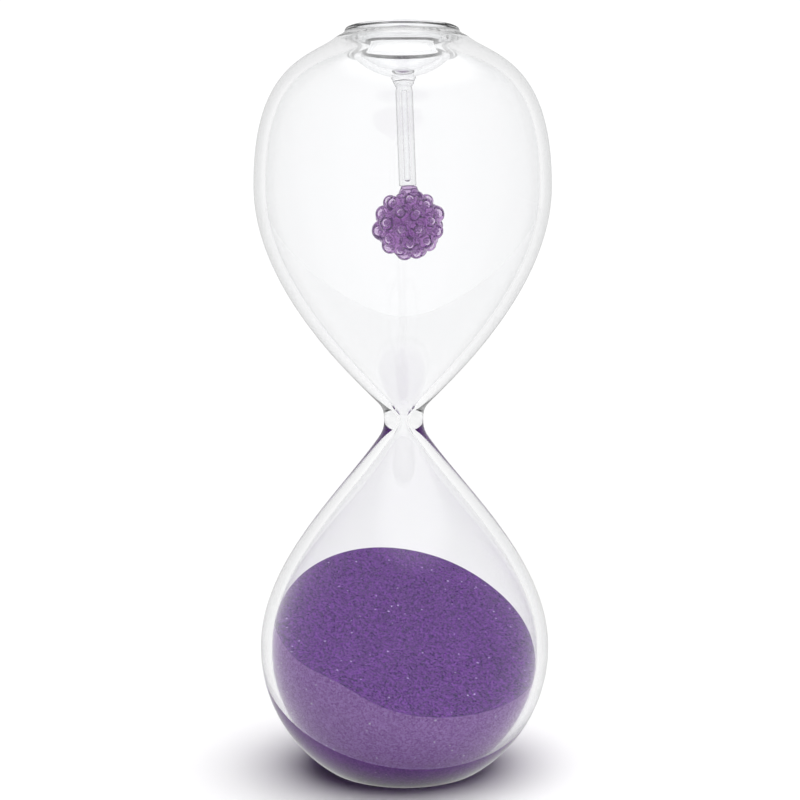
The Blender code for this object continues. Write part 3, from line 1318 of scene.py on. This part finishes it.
@dataclass
class SandBed:
    """The sand in the lower bulb, with a sloping, gently waved top."""

    envelope: Envelope
    layer: PaintedShadeLayer
    pressed: float = 0.00016
    height_on_axis: float = 0.0462
    slope: float = math.radians(26)
    downhill: float = math.radians(-65)
    clearance: float = 0.0001
    level_share: float = 0.82
    smooth_angle: float = math.radians(40)
    top_size: float = 0.12
    top_cells: int = 200
    steps: int = 144
    waves: tuple[Wave, ...] = (
        Wave(Vector((0.026, -0.031, 0.0)), 0.012, 0.0026),
        Wave(Vector((-0.004, -0.006, 0.0)), 0.018, -0.0008),
        Wave(Vector((-0.018, 0.022, 0.0)), 0.014, 0.0006),
    )

    def filling(self) -> bpy.types.Object:
        """Fills the lower bulb's hollow with a solid, a little smaller.

        Returns:
            The solid as an object.
        """
        inner = self.envelope.lower_inner()
        outline = [(0.0, inner[0][1] + self.clearance)]
        outline += offset(inner, self.clearance)[1:]
        outline.append((0.0, outline[-1][1]))
        return turned_skin(outline, self.steps, Facing.OUTWARD)

    def tilt(self) -> Matrix:
        """The turn from a level top to the sloping one."""
        return Matrix.Rotation(self.downhill, 4, "Z") @ Matrix.Rotation(self.slope, 4, "Y")

    def level(self) -> bpy.types.Object:
        """Makes a deep block whose fine-meshed top is the sand's surface.

        Returns:
            The block, tilted into its place.
        """
        deselect()
        bpy.ops.mesh.primitive_grid_add(
            x_subdivisions=self.top_cells, y_subdivisions=self.top_cells, size=self.top_size
        )
        block = bpy.context.object
        bpy.ops.object.mode_set(mode="EDIT")
        bpy.ops.mesh.select_all(action="SELECT")
        bpy.ops.mesh.extrude_region_move(TRANSFORM_OT_translate={"value": (0, 0, self.top_size)})
        bpy.ops.mesh.select_all(action="SELECT")
        bpy.ops.mesh.normals_make_consistent(inside=False)
        bpy.ops.object.mode_set(mode="OBJECT")
        for vertex in block.data.vertices:
            vertex.co.z -= self.top_size
            if vertex.co.z > -self.top_size / 2:
                vertex.co.z += sum(wave.lift(vertex.co) for wave in self.waves)
        block.matrix_world = Matrix.Translation((0, 0, self.height_on_axis)) @ self.tilt()
        bpy.ops.object.transform_apply(location=True, rotation=True, scale=True)
        return block

    def build(self) -> bpy.types.Object:
        """Cuts the filling down to its level and presses its low zone, the one with painted shade,
        onto the glass.

        Returns:
            The finished bed.
        """
        sand, block = self.filling(), self.level()
        cut = sand.modifiers.new("level", "BOOLEAN")
        cut.operation = "INTERSECT"
        cut.object = block
        apply_modifiers(sand)
        bpy.data.objects.remove(block, do_unlink=True)
        sand.name = "sand_bed"
        sand.data.name = "sand_bed"
        self.press_low_zone(sand)
        pick(sand)
        bpy.ops.object.shade_smooth_by_angle(angle=self.smooth_angle)
        return sand

    def press_low_zone(self, sand: bpy.types.Object) -> None:
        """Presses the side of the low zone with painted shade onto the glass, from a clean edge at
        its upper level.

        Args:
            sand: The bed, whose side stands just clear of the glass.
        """
        down = self.layer.down.normalized()
        pick(sand)
        bpy.ops.object.mode_set(mode="EDIT")
        for reach in (self.layer.reach, self.layer.reach + self.layer.softness):
            bpy.ops.mesh.select_all(action="SELECT")
            bpy.ops.mesh.bisect(plane_co=down * reach, plane_no=down)
        bpy.ops.object.mode_set(mode="OBJECT")
        middle = Vector((0.0, 0.0, self.envelope.lower_centre()))
        for vertex in sand.data.vertices:
            if vertex.co.dot(down) > self.layer.reach + self.layer.softness / 2:
                vertex.co += (vertex.co - middle).normalized() * self.pressed

    def dress(
        self, sand: bpy.types.Object, top: bpy.types.Material, side: bpy.types.Material
    ) -> None:
        """Gives the sand its grains and ties it to the frame.

        Args:
            sand: The finished bed.
            top: The finish of its open top.
            side: The finish where it lies against the glass, painted lighter than the top to stand
                in for the light and reflection there.
        """
        clad(sand, top, side)
        up = self.tilt().to_3x3() @ Vector((0.0, 0.0, 1.0))
        # Upward faces take the top's finish, the rest the side's, which is painted lighter.
        for face in sand.data.polygons:
            face.material_index = 0 if face.normal.dot(up) > self.level_share else 1
        hand_over(sand, "violet_sand", "sand")


# Studio


@dataclass
class Studio:
    """A white floor, white light all round, and the camera."""

    floor_size: float = 6.0
    floor_colour: Colour = (0.90, 0.90, 0.90)
    backdrop: float = 1.08
    through_glass: float = 1.09
    panels: int = 8
    panel_gap: float = 0.09
    front_in_reflections: float = 0.12
    back_in_reflections: float = 0.72
    back_reach: tuple[float, float] = (-0.25, 0.8)
    lamp_in_reflections: float = 1.6
    beyond_glass: float = 0.20
    ambient: float = 0.02
    lamp: float = 3.8
    lamp_lean: float = math.radians(5)
    lamp_rim: tuple[float, float] = (math.cos(math.radians(40)), math.cos(math.radians(26)))
    target: Vector = field(default_factory=lambda: Vector((-0.0011, 0.0, 0.1152)))
    distance: float = 0.465
    down: float = math.radians(5)
    roll: float = math.radians(-0.25)
    lens: float = 67.5
    sensor: float = 36.0
    bounces: int = 40
    glass_bounces: int = 32
    clear_bounces: int = 24

    def floor(self) -> None:
        """Lays the floor, in a plain matt white that mirror-like rays pass by."""
        deselect()
        bpy.ops.mesh.primitive_grid_add(x_subdivisions=8, y_subdivisions=8, size=self.floor_size)
        ground = bpy.context.object
        ground.name = "studio_floor"
        ground.visible_glossy = False
        material, bench = new_material("studio_white")
        paint = bench.add(
            "ShaderNodeBsdfPrincipled",
            inputs={
                "Base Color": rgba(self.floor_colour),
                "Roughness": 0.9,
                "Specular IOR Level": 0.2,
            },
        )
        output = bench.add("ShaderNodeOutputMaterial")
        bench.feed(output.inputs["Surface"], paint.outputs["BSDF"])
        ground.data.materials.append(material)

    def light(self) -> None:
        """Lights white panels all round and a wide soft lamp overhead, in a dim room.

        The panels are what the glass shows through itself, the lamp lights the sand and the floor,
        and reflections see the room, dimmer at the front than at the back.
        """
        world = bpy.data.worlds.new("studio_light")
        world.use_nodes = True
        bench = NodeBench(world.node_tree)
        where = bench.add("ShaderNodeTexCoord").outputs["Generated"]
        path = bench.add("ShaderNodeLightPath")
        to_lamp = Vector((math.sin(self.lamp_lean), 0.0, math.cos(self.lamp_lean)))
        in_lamp = bench.ramp(bench.along(where, to_lamp), *self.lamp_rim)
        split = bench.add("ShaderNodeSeparateXYZ")
        bench.feed(split.inputs["Vector"], where)
        round_about = bench.math("ARCTAN2", split.outputs["X"], split.outputs["Y"])
        ripple = bench.math("COSINE", bench.math("MULTIPLY", round_about, float(self.panels)))
        gap = bench.math("MULTIPLY", bench.math("SUBTRACT", 1.0, ripple), self.panel_gap / 2)
        panels = bench.math("MULTIPLY", bench.math("SUBTRACT", 1.0, gap), self.through_glass)
        level = bench.mix(in_lamp, self.ambient, self.lamp)
        scattered = bench.math("GREATER_THAN", path.outputs["Diffuse Depth"], 0.5)
        panels = bench.mix(scattered, panels, bench.math("MULTIPLY", level, self.beyond_glass))
        to_back = bench.ramp(split.outputs["Y"], *self.back_reach)
        mirrored = bench.mix(to_back, self.front_in_reflections, self.back_in_reflections)
        mirrored = bench.mix(in_lamp, mirrored, self.lamp_in_reflections)
        level = bench.mix(path.outputs["Is Glossy Ray"], level, mirrored)
        level = bench.mix(path.outputs["Is Transmission Ray"], level, panels)
        level = bench.mix(path.outputs["Is Camera Ray"], level, self.backdrop)
        sky = world.node_tree.nodes["Background"]
        bench.feed(sky.inputs["Strength"], level)
        bench.feed(sky.inputs["Color"], rgba((1.0, 1.0, 1.0)))
        bpy.context.scene.world = world

    def camera(self) -> None:
        """Puts the camera a little above the object's middle, looking slightly down."""
        data = bpy.data.cameras.new("camera")
        data.lens = self.lens
        data.sensor_width = self.sensor
        data.clip_start = 0.01
        camera = bpy.data.objects.new("camera", data)
        bpy.context.scene.collection.objects.link(camera)
        back = Vector((0.0, -math.cos(self.down), math.sin(self.down)))
        camera.location = self.target + back * self.distance
        turn = Matrix.Rotation(math.pi / 2 - self.down, 3, "X") @ Matrix.Rotation(self.roll, 3, "Z")
        camera.rotation_euler = turn.to_euler()
        bpy.context.scene.camera = camera

    def build(self) -> None:
        """Sets up the whole studio."""
        self.floor()
        self.light()
        self.camera()
        scene = bpy.context.scene
        scene.view_settings.view_transform = "Standard"
        scene.cycles.max_bounces = self.bounces
        scene.cycles.transmission_bounces = self.glass_bounces
        scene.cycles.glossy_bounces = self.glass_bounces
        scene.cycles.transparent_max_bounces = self.clear_bounces


def main() -> None:
    """Builds the studio and every piece."""
    logging.basicConfig(level=logging.INFO, format="%(name)s: %(message)s")
    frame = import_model()
    Studio().build()
    envelope = Envelope.from_frame()
    waves, grains = WAVES.make(), GRAINS.make()
    envelope.dress(envelope.build(), CLEAR_GLASS.make(waves))
    stem = Stem.from_frame()
    stem.dress(stem.build(), DRAWN_GLASS.make(waves))
    berry = Berry.from_frame(sorted(frame["nodes"]))
    berry.dress(berry.build(), VIOLET_GLASS.make(waves))
    sand = SandBed(envelope, LOW_PAINTED_SHADE)
    sand.dress(sand.build(), OPEN_SAND.make(grains), WALL_SAND_PAINTED_LIGHTER.make(grains))


if __name__ == "__main__":
    main()
